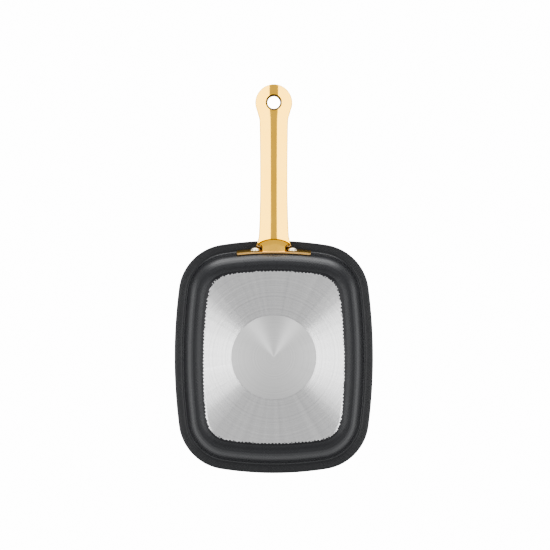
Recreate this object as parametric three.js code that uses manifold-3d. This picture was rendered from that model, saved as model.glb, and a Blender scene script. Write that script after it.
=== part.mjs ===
// A rectangular frying pan of pressed aluminium with a riveted hollow metal handle.
// Millimetres. The origin is the centre of the standing face, +Z is up and the handle points to -Y.

import * as THREE from 'three';
import { mergeVertices } from 'three/addons/utils/BufferGeometryUtils.js';
import Module from 'manifold-3d';

const wasm = await Module();
wasm.setup();

// Pan body in plan: across the rim's outer edge and across the bare standing face.
const rimWidth = 240;
const rimLength = 281;
const rimCorner = 61;
const baseWidth = 172;
const baseLength = 208.4;
const baseCorner = 31;
const sideBow = 645;
const endBow = 405;

// Pan body in section. A share is a share of the level run from the rim's outer edge to the bare face.
const wall = 3;
const coatStepWidth = 0.8;
const coatStepHeight = 0.5;
const bendShare = 0.588;
const bendStartSlope = THREE.MathUtils.degToRad(3);
const wallTopShare = 0.349;
const wallTopHeight = 34;
const flareRadius = 4.5;
const lipSlope = THREE.MathUtils.degToRad(2);

// Disc set flush into the standing face.
const discDiameter = 101.5;
const discThickness = 1.2;
const discChamfer = 0.3;

// Bracket: a curved flange on the end wall, thicker at its head, and a neck that enters the handle.
const flangeWidth = 89;
const flangeFootThickness = 2.4;
const flangeHeadThickness = 3.4;
const flangeCorner = 2;
const flangeFootDrop = 2;
const flangeHeadMargin = 1.6;
const neckSideRoom = 0.85;
const neckRoom = 0.5;
const neckReach = 24;
const neckFlareSetback = 3.8;
const neckFlareSlope = Math.tan(THREE.MathUtils.degToRad(9));

// Rivets, one on each side of the neck.
const rivetNeckRoom = 1.45;
const rivetShank = 6;
const rivetHead = 12.6;
const rivetHeadHeight = 3.7;
const rivetInnerHeadHeight = 1.8;

// Handle. Reaches are measured level, outwards from the rim's outer edge at the pan's end.
const handleRise = 2.8;
const handleRootSlope = Math.tan(THREE.MathUtils.degToRad(17));
const handleTipSlope = Math.tan(THREE.MathUtils.degToRad(2));
const hoodClearance = 0.5;
const hoodWidth = 42.6;
const rimCrossingWidth = 38.6;
const shoulderReach = 12;
const shoulderWidth = 35.6;
const waistReach = 62;
const waistWidth = 33.2;
const throatSetback = 29;
const throatWidth = 34.4;
const bulbSetback = 16;
const bulbWidth = 37.6;
const tipReach = 167;
const tipDiameter = 45.2;
const tipBlendAngle = THREE.MathUtils.degToRad(105);
const undersideDepth = 6.8;
const undersideTipDepth = 9;
const undersideEdgeSlope = THREE.MathUtils.degToRad(21);
const topRise = 5.5;
const topTipRise = 3.5;
const topEdgeSlope = THREE.MathUtils.degToRad(10);
const handleEdge = 0.8;
const handleSheet = 1.5;
const mouthArch = 6.9;

// Eyelet that lines the hanging hole.
const hangingHole = 15.4;
const eyeletWall = 1.7;

// Clearance between neighbouring pieces.
const gap = 0.3;

// Points closer than this are one point, and a cutter is this many times as long as what it passes through.
const mergeDistance = 1e-4;
const cutterOvershoot = 4;

// Smoothness of the curved surfaces.
const sideSteps = 4;
const cornerSteps = 7;
const bendSteps = 8;
const curveSteps = 6;
const rimSteps = 4;
const rivetSteps = 3;
const handleSteps = 12;
const tipSteps = 7;
const sectionSteps = 12;
const roundSteps = 32;

// Finishes.
const coating = new THREE.MeshStandardMaterial({ color: 0x2b2c2f, roughness: 0.5, metalness: 0.1 });
const turned = new THREE.MeshStandardMaterial({ color: 0xc4c5c6, roughness: 0.35, metalness: 1 });
const gold = new THREE.MeshStandardMaterial({ color: 0xd9ac5c, roughness: 0.15, metalness: 1 });
const bright = new THREE.MeshStandardMaterial({ color: 0xd4d2ce, roughness: 0.25, metalness: 1 });

// Solids

function toSolid(geometry) {
  const bare = geometry.clone();
  bare.deleteAttribute('normal');
  bare.deleteAttribute('uv');
  const merged = mergeVertices(bare, mergeDistance);
  const vertProperties = Float32Array.from(merged.attributes.position.array);
  const triVerts = Uint32Array.from(merged.index.array);
  return new wasm.Manifold(new wasm.Mesh({ numProp: 3, vertProperties, triVerts }));
}

function toGeometry(solid) {
  const mesh = solid.getMesh();
  const geometry = new THREE.BufferGeometry();
  geometry.setAttribute('position', new THREE.BufferAttribute(mesh.vertProperties, 3));
  geometry.setIndex(new THREE.BufferAttribute(mesh.triVerts, 1));
  geometry.computeVertexNormals();
  return geometry;
}

function piece(name, geometry, material) {
  const mesh = new THREE.Mesh(geometry, material);
  mesh.name = name;
  return mesh;
}

function meanPoint(ring) {
  const centre = new THREE.Vector3();
  ring.forEach((point) => centre.addScaledVector(point, 1 / ring.length));
  return centre;
}

// A skin over rings of equal count, closed at each end by a fan about a point.
function loft(rings, endPoint = meanPoint(rings.at(-1))) {
  const count = rings[0].length;
  const points = [...rings.flat(), meanPoint(rings[0]), endPoint];
  const index = [];
  const last = (rings.length - 1) * count;
  const startCentre = rings.length * count;
  const endCentre = startCentre + 1;
  for (let j = 0; j < count; j += 1) {
    const k = (j + 1) % count;
    index.push(startCentre, k, j);
    index.push(endCentre, last + j, last + k);
    for (let row = 0; row < last; row += count) {
      index.push(row + j, row + k, row + count + k);
      index.push(row + j, row + count + k, row + count + j);
    }
  }
  const geometry = new THREE.BufferGeometry().setFromPoints(points);
  geometry.setIndex(index);
  return geometry;
}

function arc(centre, radius, startAngle, endAngle, clockwise = false) {
  return new THREE.EllipseCurve(centre.x, centre.y, radius, radius, startAngle, endAngle, clockwise);
}

// Pan body

// An inset is measured inwards from the rim's outer edge on the long sides. It is stretched at the ends.
const baseInset = (rimWidth - baseWidth) / 2;
const coatEdgeInset = baseInset - coatStepWidth;
const bendRadius = bendShare * baseInset;
const wallTopInset = wallTopShare * baseInset;
const endStretch = (rimLength - baseLength) / (rimWidth - baseWidth);

function halfWidthAt(inset) {
  return rimWidth / 2 - inset;
}

function halfLengthAt(inset) {
  return rimLength / 2 - endStretch * inset;
}

function cornerAt(inset) {
  return THREE.MathUtils.mapLinear(inset, 0, baseInset, rimCorner, baseCorner);
}

// The centre of the corner arc that meets the bowed side and the bowed end smoothly from within.
function cornerCentre(sideCentre, endCentre, corner) {
  const fromSide = sideBow - corner;
  const fromEnd = endBow - corner;
  const span = sideCentre.distanceTo(endCentre);
  const along = (fromSide ** 2 - fromEnd ** 2 + span ** 2) / (2 * span);
  const across = Math.sqrt(fromSide ** 2 - along ** 2);
  const axis = endCentre.clone().sub(sideCentre).divideScalar(span);
  const normal = new THREE.Vector2(-axis.y, axis.x);
  return sideCentre.clone().addScaledVector(axis, along).addScaledVector(normal, across);
}

// One quarter of the plan outline, from the middle of the +X side to the middle of the +Y end.
function quarterOutline(inset) {
  const corner = cornerAt(inset);
  const sideCentre = new THREE.Vector2(halfWidthAt(inset) - sideBow, 0);
  const endCentre = new THREE.Vector2(0, halfLengthAt(inset) - endBow);
  const centre = cornerCentre(sideCentre, endCentre, corner);
  const sideAngle = centre.clone().sub(sideCentre).angle();
  const endAngle = centre.clone().sub(endCentre).angle();
  return [
    ...arc(sideCentre, sideBow, 0, sideAngle).getPoints(sideSteps).slice(0, -1),
    ...arc(centre, corner, sideAngle, endAngle).getPoints(cornerSteps).slice(0, -1),
    ...arc(endCentre, endBow, endAngle, Math.PI / 2).getPoints(sideSteps).slice(0, -1),
  ];
}

// A closed ring at one height, counter-clockwise from above.
function outlineRing(inset, height) {
  const quarter = quarterOutline(inset);
  const endMiddle = new THREE.Vector2(0, halfLengthAt(inset));
  const back = [...quarter.slice(1), endMiddle].reverse();
  const plan = [
    ...quarter,
    ...back.map((p) => new THREE.Vector2(-p.x, p.y)),
    ...quarter.map((p) => new THREE.Vector2(-p.x, -p.y)),
    ...back.map((p) => new THREE.Vector2(p.x, -p.y)),
  ];
  return plan.map((p) => new THREE.Vector3(p.x, p.y, height));
}

function circleRing(radius, height, count) {
  const angles = Array.from({ length: count }, (_, k) => (2 * Math.PI * k) / count);
  return angles.map((a) => new THREE.Vector3(radius * Math.cos(a), radius * Math.sin(a), height));
}

// The bend starts at the edge of the coat and runs smoothly into the wall, which is straight up to its top.
const bendCentre = new THREE.Vector2(
  coatEdgeInset + bendRadius * Math.sin(bendStartSlope),
  coatStepHeight + bendRadius * Math.cos(bendStartSlope),
);
const toWallTop = new THREE.Vector2(bendCentre.x - wallTopInset, wallTopHeight - bendCentre.y);
const wallSlope = toWallTop.angle() + Math.asin(bendRadius / toWallTop.length());
const wallRise = Math.tan(wallSlope);
const wallFootInset = bendCentre.x - bendRadius * Math.sin(wallSlope);
const wallFootHeight = bendCentre.y - bendRadius * Math.cos(wallSlope);

// The outer face in section, from the standing face to the lip, as points (inset, height).
function outerSection() {
  const quarterTurn = Math.PI / 2;
  const bend = arc(bendCentre, bendRadius, -quarterTurn - bendStartSlope, -quarterTurn - wallSlope, true);
  const flareCentre = new THREE.Vector2(
    wallTopInset - flareRadius * Math.sin(wallSlope),
    wallTopHeight - flareRadius * Math.cos(wallSlope),
  );
  const flare = arc(flareCentre, flareRadius, quarterTurn - wallSlope, quarterTurn - lipSlope);
  const lipStart = flare.getPoint(1);
  const lipEndInset = (wall / 2) * (1 - Math.sin(lipSlope));
  const lipEndHeight = lipStart.y + (lipStart.x - lipEndInset) * Math.tan(lipSlope);
  return [
    new THREE.Vector2(baseInset, 0),
    ...bend.getPoints(bendSteps),
    ...flare.getPoints(curveSteps),
    new THREE.Vector2(lipEndInset, lipEndHeight),
  ];
}

// The sheet has one thickness, so the floor inside lies level with the foot of the bend.
const floorHeight = coatStepHeight + wall;

// The same line moved into the metal by the wall's thickness.
function inwards(points) {
  const directions = points.slice(1).map((p, k) => p.clone().sub(points[k]).normalize());
  return points.map((p, k) => {
    const before = directions[Math.max(k - 1, 0)];
    const after = directions[Math.min(k, directions.length - 1)];
    const along = before.clone().add(after).normalize();
    const square = new THREE.Vector2(along.y, -along.x);
    return p.clone().addScaledVector(square, wall / along.dot(after));
  });
}

function rimRound(under, over) {
  const middle = under.clone().add(over).divideScalar(2);
  const start = under.clone().sub(middle);
  const angles = Array.from({ length: rimSteps - 1 }, (_, k) => (-Math.PI * (k + 1)) / rimSteps);
  return angles.map((a) => start.clone().rotateAround(new THREE.Vector2(), a).add(middle));
}

const rivetHole = rivetShank + 2 * gap;
const pocketRadius = discDiameter / 2 + gap;
const pocketDepth = discThickness + gap;

function makePanBody() {
  const outer = outerSection();
  const coated = outer.slice(1);
  const inner = inwards(coated);
  const section = [...outer, ...rimRound(coated.at(-1), inner.at(-1)), ...inner.reverse()];
  const rings = section.map((p) => outlineRing(p.x, p.y));
  const count = rings[0].length;
  rings.unshift(circleRing(pocketRadius, pocketDepth, count), circleRing(pocketRadius, 0, count));
  rings.push(outlineRing(baseInset, floorHeight));
  let solid = toSolid(loft(rings));
  for (const side of [-1, 1]) {
    solid = solid.subtract(rivetHoleCutter(side));
  }
  return piece('pan_body', toGeometry(solid), coating);
}

// The outer face of the end wall under the handle

function wallInsetAt(height) {
  return wallFootInset - (height - wallFootHeight) / wallRise;
}

function endWallPoint(x, height) {
  const sag = endBow - Math.sqrt(endBow ** 2 - x ** 2);
  return new THREE.Vector3(x, sag - halfLengthAt(wallInsetAt(height)), height);
}

// The wall leans outwards, so its outward normal dips a little.
const endWallLean = endStretch / wallRise;
const endWallThickness = (wall * endStretch * Math.cos(Math.atan(endWallLean))) / Math.sin(wallSlope);

function endWallNormal(x) {
  const turn = Math.asin(x / endBow);
  return new THREE.Vector3(Math.sin(turn), -Math.cos(turn), -endWallLean).normalize();
}

function fromEndWall(x, height, distance) {
  return endWallPoint(x, height).addScaledVector(endWallNormal(x), distance);
}

// The flange stands on the wall and hangs a little over its bend, with a rivet on each side of the neck.
const flangeFoot = wallFootHeight - flangeFootDrop;
const flangeHead = wallTopHeight - flangeHeadMargin;
const flangeHeight = flangeHead - flangeFoot;
const flangeThickness = (flangeFootThickness + flangeHeadThickness) / 2;
const flangeMiddleHeight = (flangeHead + flangeFoot) / 2;
const neckWidth = waistWidth - 2 * (handleSheet + neckSideRoom);
const rivetSpacing = neckWidth + rivetHead + 2 * rivetNeckRoom;

// Turns +Y of a lathe or cylinder to the outward normal at a rivet.
function rivetPlacement(side) {
  const x = (side * rivetSpacing) / 2;
  const turn = new THREE.Quaternion().setFromUnitVectors(new THREE.Vector3(0, 1, 0), endWallNormal(x));
  return { position: endWallPoint(x, flangeMiddleHeight), quaternion: turn };
}

function rivetHoleCutter(side) {
  const { position, quaternion } = rivetPlacement(side);
  const length = cutterOvershoot * (endWallThickness + flangeThickness);
  const cutter = new THREE.CylinderGeometry(rivetHole / 2, rivetHole / 2, length, roundSteps);
  const matrix = new THREE.Matrix4().compose(position, quaternion, new THREE.Vector3(1, 1, 1));
  return toSolid(cutter.applyMatrix4(matrix));
}

// Disc in the standing face

function makeBaseDisc() {
  const radius = discDiameter / 2;
  const profile = [
    new THREE.Vector2(0, 0),
    new THREE.Vector2(radius - discChamfer, 0),
    new THREE.Vector2(radius, discChamfer),
    new THREE.Vector2(radius, discThickness),
    new THREE.Vector2(0, discThickness),
  ];
  const geometry = new THREE.LatheGeometry(profile, 2 * roundSteps);
  return piece('base_disc', toGeometry(toSolid(geometry.rotateX(Math.PI / 2))), turned);
}

// Rivets: a domed head outside, a flatter head inside the pan

function makeRivet(name, side) {
  const shank = rivetShank / 2;
  const head = rivetHead / 2;
  const seat = flangeThickness + 2 * gap;
  const innerSeat = -(endWallThickness + gap);
  const profile = new THREE.Path();
  profile.absellipse(0, innerSeat, head, rivetInnerHeadHeight, -Math.PI / 2, 0);
  profile.lineTo(shank, innerSeat);
  profile.lineTo(shank, seat);
  profile.lineTo(head, seat);
  profile.absellipse(0, seat, head, rivetHeadHeight, 0, Math.PI / 2);
  const geometry = new THREE.LatheGeometry(profile.getPoints(rivetSteps), roundSteps);
  const rivet = piece(name, toGeometry(toSolid(geometry)), bright);
  const { position, quaternion } = rivetPlacement(side);
  rivet.position.copy(position);
  rivet.quaternion.copy(quaternion);
  return rivet;
}

// Handle

const tipRadius = tipDiameter / 2;
const handleReach = tipReach + tipRadius;
const throatReach = tipReach - throatSetback;
const bulbReach = tipReach - bulbSetback;
const handleRootHeight = flangeMiddleHeight + handleRise;

// The handle starts clear of the rivet heads and of the flange's upper edge.
const wallReach = halfLengthAt(wallInsetAt(flangeMiddleHeight)) - rimLength / 2;
const rivetTopReach = wallReach + 2 * gap + flangeThickness + rivetHeadHeight;
const flangeTopReach = wallReach + endWallLean * (flangeHeight / 2) + gap + flangeHeadThickness;
const hoodReach = Math.max(rivetTopReach, flangeTopReach) + hoodClearance;
const neckFlareReach = hoodReach + neckFlareSetback;

// Slices of the neck stand square to the slanting handle, so the first lies far enough back for the whole
// of it to start inside the flange.
const neckStart = wallReach - handleRootSlope * undersideDepth;

function spineSlope(reach) {
  return THREE.MathUtils.mapLinear(reach, 0, handleReach, handleRootSlope, handleTipSlope);
}

function spinePoint(reach) {
  const rise = (reach * (handleRootSlope + spineSlope(reach))) / 2;
  return new THREE.Vector3(0, -rimLength / 2 - reach, handleRootHeight + rise);
}

function spineUp(reach) {
  return new THREE.Vector3(0, spineSlope(reach), 1).normalize();
}

function blendToTip(reach, bar, tip) {
  return THREE.MathUtils.lerp(bar, tip, THREE.MathUtils.smoothstep(reach, throatReach, tipReach));
}

// Half of the plan outline as points (reach, half width), inset by a sheet: a flared bar with a round tip.
function handlePlan(inset) {
  const tip = arc(new THREE.Vector2(tipReach, 0), tipRadius - inset, tipBlendAngle, 0, true);
  const bar = new THREE.SplineCurve([
    new THREE.Vector2(hoodReach - inset, hoodWidth / 2 - inset),
    new THREE.Vector2(0, rimCrossingWidth / 2 - inset),
    new THREE.Vector2(shoulderReach, shoulderWidth / 2 - inset),
    new THREE.Vector2(waistReach, waistWidth / 2 - inset),
    new THREE.Vector2(throatReach, throatWidth / 2 - inset),
    new THREE.Vector2(bulbReach, bulbWidth / 2 - inset),
    tip.getPoint(0),
  ]);
  return [...bar.getPoints(handleSteps).slice(0, -1), ...tip.getPoints(tipSteps).slice(0, -1)];
}

// How far the crowned face stands off the seam. The crown is an arc with one slope at its edges all along,
// so a wider place has a wider arc. Past the tip's centre it runs on level, and only the rounded edge
// brings it down to the seam.
function crown(x, reach, halfWidth, depth, edgeSlope, inset) {
  const pastTip = Math.max(reach - tipReach, 0);
  const crownWidth = pastTip > 0 ? tipRadius - inset : halfWidth;
  const fromEdge = pastTip > 0 ? crownWidth - Math.hypot(x, pastTip) : halfWidth - Math.abs(x);
  const nearEdge = 1 - THREE.MathUtils.clamp(fromEdge / handleEdge, 0, 1);
  const crownRadius = (crownWidth + inset) / Math.sin(edgeSlope) - inset;
  const fall = crownRadius - Math.sqrt(crownRadius ** 2 - x ** 2);
  return (depth - fall) * Math.sqrt(1 - nearEdge ** 2);
}

function offSpine(reach, x, height) {
  return spinePoint(reach).addScaledVector(spineUp(reach), height).setX(x);
}

// One closed half of the handle, below (-1) or above (+1) the seam.
function handleHalf(side, inset, seam) {
  const barDepth = side < 0 ? undersideDepth : topRise;
  const tipDepth = side < 0 ? undersideTipDepth : topTipRise;
  const edgeSlope = side < 0 ? undersideEdgeSlope : topEdgeSlope;
  const turns = Array.from({ length: sectionSteps + 1 }, (_, k) => Math.PI * (k / sectionSteps - 0.5));
  const rings = handlePlan(inset).map(({ x: reach, y: halfWidth }) => turns.map((turn) => {
    const x = -side * halfWidth * Math.sin(turn);
    const depth = blendToTip(reach, barDepth, tipDepth) - inset;
    const height = Math.max(crown(x, reach, halfWidth, depth, edgeSlope, inset), seam);
    return offSpine(reach, x, side * height);
  }));
  return toSolid(loft(rings, offSpine(handleReach - inset, 0, side * seam)));
}

// The hanging hole runs square to the handle at the middle of its tip.
function alongHangingHole(geometry) {
  const turn = new THREE.Quaternion().setFromUnitVectors(new THREE.Vector3(0, 1, 0), spineUp(tipReach));
  return toSolid(geometry.applyQuaternion(turn).translate(...spinePoint(tipReach)));
}

const eyeletRadius = hangingHole / 2 + eyeletWall;
const holeCutLength = cutterOvershoot * (undersideTipDepth + topTipRise);

function makeHandleShell(name, side) {
  const holeRadius = eyeletRadius + gap;
  const hole = new THREE.CylinderGeometry(holeRadius, holeRadius, holeCutLength, roundSteps);
  let solid = handleHalf(side, 0, gap / 2);
  solid = solid.subtract(handleHalf(side, handleSheet, 0));
  solid = solid.subtract(alongHangingHole(hole));
  if (side < 0) {
    solid = solid.subtract(mouthCutter());
  }
  return piece(name, toGeometry(solid), gold);
}

// The underside stops in an arch that shows the neck, and only its side walls run on towards the flange.
function mouthCutter() {
  const half = hoodWidth / 2 - handleSheet;
  const hood = -rimLength / 2 - hoodReach;
  const behind = hood + half;
  const shape = new THREE.Shape();
  shape.moveTo(half, behind);
  shape.absellipse(0, hood, half, mouthArch, 0, Math.PI, true);
  shape.lineTo(-half, behind);
  const cutter = new THREE.ExtrudeGeometry(shape, {
    depth: 2 * handleRootHeight,
    bevelEnabled: false,
    curveSegments: sectionSteps,
  });
  return toSolid(cutter);
}

function makeEyelet() {
  const bore = hangingHole / 2;
  const end = holeCutLength / 2;
  const profile = [
    new THREE.Vector2(bore, -end),
    new THREE.Vector2(eyeletRadius, -end),
    new THREE.Vector2(eyeletRadius, end),
    new THREE.Vector2(bore, end),
    new THREE.Vector2(bore, -end),
  ];
  const tube = alongHangingHole(new THREE.LatheGeometry(profile, roundSteps));
  const envelope = handleHalf(-1, 0, 0).add(handleHalf(1, 0, 0));
  return piece('hanging_eyelet', toGeometry(tube.intersect(envelope)), gold);
}

// Bracket

// A slice of a plate that follows the end wall, between two heights, from a distance off the wall
// to one at the foot and one at the head.
function plateRing(x, low, high, near, farAtFoot, farAtHead = farAtFoot) {
  return [
    fromEndWall(x, low, farAtFoot),
    fromEndWall(x, low, near),
    fromEndWall(x, high, near),
    fromEndWall(x, high, farAtHead),
  ];
}

function plateSolid(width, ringAt) {
  const steps = 2 * sectionSteps;
  const turns = Array.from({ length: steps + 1 }, (_, k) => Math.PI * (k / steps - 0.5));
  return toSolid(loft(turns.map((turn) => ringAt((width / 2) * Math.sin(turn)))));
}

function flangeThicknessAt(height) {
  return THREE.MathUtils.mapLinear(height, flangeFoot, flangeHead, flangeFootThickness, flangeHeadThickness);
}

function flangeRing(x) {
  const corner = Math.min(flangeCorner, flangeHeight / 2 - gap);
  const pastStraight = Math.max(Math.abs(x) - (flangeWidth / 2 - corner), 0);
  const rounded = corner - Math.sqrt(Math.max(corner ** 2 - pastStraight ** 2, 0));
  const half = flangeHeight / 2 - rounded;
  const low = flangeMiddleHeight - half;
  const high = flangeMiddleHeight + half;
  return plateRing(x, low, high, gap, gap + flangeThicknessAt(low), gap + flangeThicknessAt(high));
}

// A flat seat for a rivet's head, cut into the slanted face of the flange.
function rivetSeatCutter(side) {
  const { position, quaternion } = rivetPlacement(side);
  const radius = rivetHead / 2 + gap;
  const cutter = new THREE.CylinderGeometry(radius, radius, flangeThickness, roundSteps);
  cutter.translate(0, gap + flangeThickness * 1.5, 0);
  const matrix = new THREE.Matrix4().compose(position, quaternion, new THREE.Vector3(1, 1, 1));
  return toSolid(cutter.applyMatrix4(matrix));
}

// All that lies behind the middle of the flange, where the neck may not reach.
function behindFlangeRing(x) {
  const low = flangeMiddleHeight - flangeHeight;
  const high = flangeMiddleHeight + flangeHeight;
  return plateRing(x, low, high, -flangeHeight, gap + flangeThickness / 2);
}

function handleHalfWidth(reach) {
  const plan = handlePlan(0);
  const next = Math.max(plan.findIndex((p) => p.x > reach), 1);
  const [before, after] = [plan[next - 1], plan[next]];
  return THREE.MathUtils.mapLinear(reach, before.x, after.x, before.y, after.y);
}

// A slice of the neck. Inside the handle it fills the shells but for its room, and towards the flange
// it narrows and its underside drops.
function neckRing(reach) {
  const inset = handleSheet + neckRoom;
  const inHandle = THREE.MathUtils.smoothstep(reach, hoodReach, neckFlareReach);
  const fillWidth = handleHalfWidth(Math.max(reach, hoodReach)) - inset;
  const halfWidth = THREE.MathUtils.lerp(neckWidth / 2, fillWidth, inHandle);
  const below = undersideDepth - inset + neckFlareSlope * Math.max(neckFlareReach - reach, 0);
  const above = topRise - inset;
  const turns = Array.from({ length: 2 * sectionSteps }, (_, k) => (Math.PI * (k + 0.5)) / sectionSteps);
  return turns.map((turn) => {
    const x = halfWidth * Math.cos(turn);
    const underside = turn > Math.PI;
    const edgeSlope = underside ? undersideEdgeSlope : topEdgeSlope;
    const height = crown(x, reach, halfWidth, underside ? below : above, edgeSlope, inset);
    return offSpine(reach, x, underside ? -height : height);
  });
}

function makeBracket() {
  const shares = Array.from({ length: curveSteps + 1 }, (_, k) => k / curveSteps);
  const neckRings = shares.map((share) => neckRing(THREE.MathUtils.lerp(neckStart, neckReach, share)));
  const neck = toSolid(loft(neckRings)).subtract(plateSolid(flangeWidth, behindFlangeRing));
  let solid = plateSolid(flangeWidth, flangeRing).add(neck);
  for (const side of [-1, 1]) {
    solid = solid.subtract(rivetSeatCutter(side)).subtract(rivetHoleCutter(side));
  }
  return piece('handle_bracket', toGeometry(solid), gold);
}

// Assembly

const pan = new THREE.Group();
pan.add(makePanBody());
pan.add(makeBaseDisc());
pan.add(makeBracket());
pan.add(makeHandleShell('handle_bottom_shell', -1));
pan.add(makeHandleShell('handle_top_shell', 1));
pan.add(makeEyelet());
pan.add(makeRivet('rivet_left', -1));
pan.add(makeRivet('rivet_right', 1));

export default pan;
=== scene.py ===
# %% [markdown]
# A rectangular frying pan, seen from below
# The pan is pressed from thick aluminium, sprayed with a dark non-stick coat and faced bare underneath.
# A hollow handle with a gold finish is riveted to one end. The measured solids come from CAD and stay as
# a hidden frame. This lesson draws a finer skin over each of them, gives it a finish and sets up a small
# studio.

# %% Load the frame
import math
from bisect import bisect_right

import bmesh
import bpy
from mathutils import Matrix, Vector


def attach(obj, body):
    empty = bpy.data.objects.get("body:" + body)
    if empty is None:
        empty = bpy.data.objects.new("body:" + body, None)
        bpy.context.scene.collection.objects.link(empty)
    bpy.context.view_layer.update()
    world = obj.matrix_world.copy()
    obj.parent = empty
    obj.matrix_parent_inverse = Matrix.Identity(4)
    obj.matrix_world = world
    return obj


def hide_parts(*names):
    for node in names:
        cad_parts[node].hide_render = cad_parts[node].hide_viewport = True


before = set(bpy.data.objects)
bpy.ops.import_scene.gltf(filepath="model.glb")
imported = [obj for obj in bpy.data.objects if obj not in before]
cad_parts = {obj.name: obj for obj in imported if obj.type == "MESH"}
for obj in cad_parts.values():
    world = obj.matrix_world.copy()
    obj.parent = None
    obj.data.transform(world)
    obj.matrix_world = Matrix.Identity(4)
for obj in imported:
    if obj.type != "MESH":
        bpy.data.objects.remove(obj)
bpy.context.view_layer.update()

# %% [markdown]
# The bench tools
# Most of these pieces are skins that pass through a row of rings: the pressing, the flange, the neck, the
# eyelet and the rivets. By hand this is a circle that is extruded again and again and pushed into shape
# after each step. Each vertex remembers its station round the ring, and an extruded vertex inherits it, so
# a ring always finds its place.

# %% Draw a skin through rings
MM = 0.001
same_point = 0.0001 * MM


def fresh_start():
    """Leaves edit mode and deselects everything, because an operator acts on all that is selected."""
    if bpy.context.mode != "OBJECT":
        bpy.ops.object.mode_set(mode="OBJECT")
    bpy.ops.object.select_all(action="DESELECT")


def place_ring(points, number):
    """Moves the selected vertices to their stations, in millimetres, and notes the ring's number on them."""
    mesh = bpy.context.object.data
    bm = bmesh.from_edit_mesh(mesh)
    station = bm.verts.layers.int["station"]
    ring = bm.verts.layers.int["ring"]
    for vertex in bm.verts:
        if vertex.select:
            vertex.co = points[vertex[station]] * MM
            vertex[ring] = number
    bmesh.update_edit_mesh(mesh)


def sweep(name, rings, closed=False):
    """Extrudes a circle through the rings. A closed sweep ends on its first ring, an open one is filled."""
    fresh_start()
    bpy.ops.mesh.primitive_circle_add(vertices=len(rings[0]), fill_type="NOTHING")
    piece = bpy.context.object
    piece.name = name
    bpy.ops.object.mode_set(mode="EDIT")
    bm = bmesh.from_edit_mesh(piece.data)
    bm.verts.layers.int.new("ring")
    station = bm.verts.layers.int.new("station")
    for number, vertex in enumerate(bm.verts):
        vertex[station] = number
    bmesh.update_edit_mesh(piece.data)
    place_ring(rings[0], 0)
    for number, points in enumerate(rings[1:], 1):
        bpy.ops.mesh.extrude_region_move()
        place_ring(points, number)
    bpy.ops.mesh.select_all(action="SELECT")
    if closed:
        bpy.ops.mesh.remove_doubles(threshold=same_point)
    else:
        bpy.ops.mesh.fill_holes(sides=0)
    bpy.ops.mesh.select_all(action="SELECT")
    bpy.ops.mesh.normals_make_consistent(inside=False)
    bpy.ops.object.mode_set(mode="OBJECT")
    print(name, len(rings), "rings of", len(rings[0]))
    return piece


# %% [markdown]
# The pan's outline in plan
# From above, the rim is a rectangle whose long sides and short ends bow outwards, joined by wide corners.
# Going down the wall the outline shrinks, more at the ends than on the sides, and its corners tighten. One
# outline with an inset from the rim therefore describes the pan at every height.

# %% Outline at an inset
rim_width, rim_length, rim_corner = 240.0, 281.0, 61.0
base_width, base_length, base_corner = 172.0, 208.4, 31.0
side_bow, end_bow = 645.0, 405.0
base_inset = (rim_width - base_width) / 2
end_stretch = (rim_length - base_length) / (rim_width - base_width)
side_steps, corner_steps = 14, 22


def spread(start, end, steps):
    """Evenly spaced values, both ends included."""
    return [start + (end - start) * k / steps for k in range(steps + 1)]


def arc(centre, radius, start, end, steps):
    """Points on an arc in a plane, both ends included."""
    turns = spread(start, end, steps)
    return [Vector((centre.x + radius * math.cos(t), centre.y + radius * math.sin(t))) for t in turns]


def half_length(inset):
    """Half of the pan's length at an inset from the rim, measured at the middle of the ends."""
    return rim_length / 2 - end_stretch * inset


def quarter_outline(inset):
    """From the middle of the +X side towards the middle of the +Y end, which is left out."""
    corner = rim_corner + (base_corner - rim_corner) * inset / base_inset
    side = Vector((rim_width / 2 - inset - side_bow, 0))
    end = Vector((0, half_length(inset) - end_bow))
    axis = end - side
    span = axis.length
    axis = axis / span
    along = ((side_bow - corner) ** 2 - (end_bow - corner) ** 2 + span**2) / (2 * span)
    across = math.sqrt((side_bow - corner) ** 2 - along**2)
    centre = side + axis * along + Vector((-axis.y, axis.x)) * across
    side_turn = math.atan2(centre.y - side.y, centre.x - side.x)
    end_turn = math.atan2(centre.y - end.y, centre.x - end.x)
    return (
        arc(side, side_bow, 0, side_turn, side_steps)[:-1]
        + arc(centre, corner, side_turn, end_turn, corner_steps)[:-1]
        + arc(end, end_bow, end_turn, math.pi / 2, side_steps)[:-1]
    )


def outline(inset, height):
    """A closed ring of the pan at one height, counter-clockwise."""
    quarter = quarter_outline(inset)
    back = [*quarter[1:], Vector((0, half_length(inset)))][::-1]
    around = [
        *quarter,
        *(Vector((-p.x, p.y)) for p in back),
        *(-p for p in quarter),
        *(Vector((p.x, -p.y)) for p in back),
    ]
    return [Vector((p.x, p.y, height)) for p in around]


print("outline", len(outline(0, 0)), "stations")

# %% [markdown]
# The pan's section
# Outside, the metal steps up from the bare standing face to the edge of the sprayed coat, turns in one wide
# bend into a steep wall, flares out and ends in a nearly level lip with a round edge. A press gives sheet
# of one thickness, so the inside is the same line moved into the metal. A point of the section is an inset
# from the rim and a height.

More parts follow.
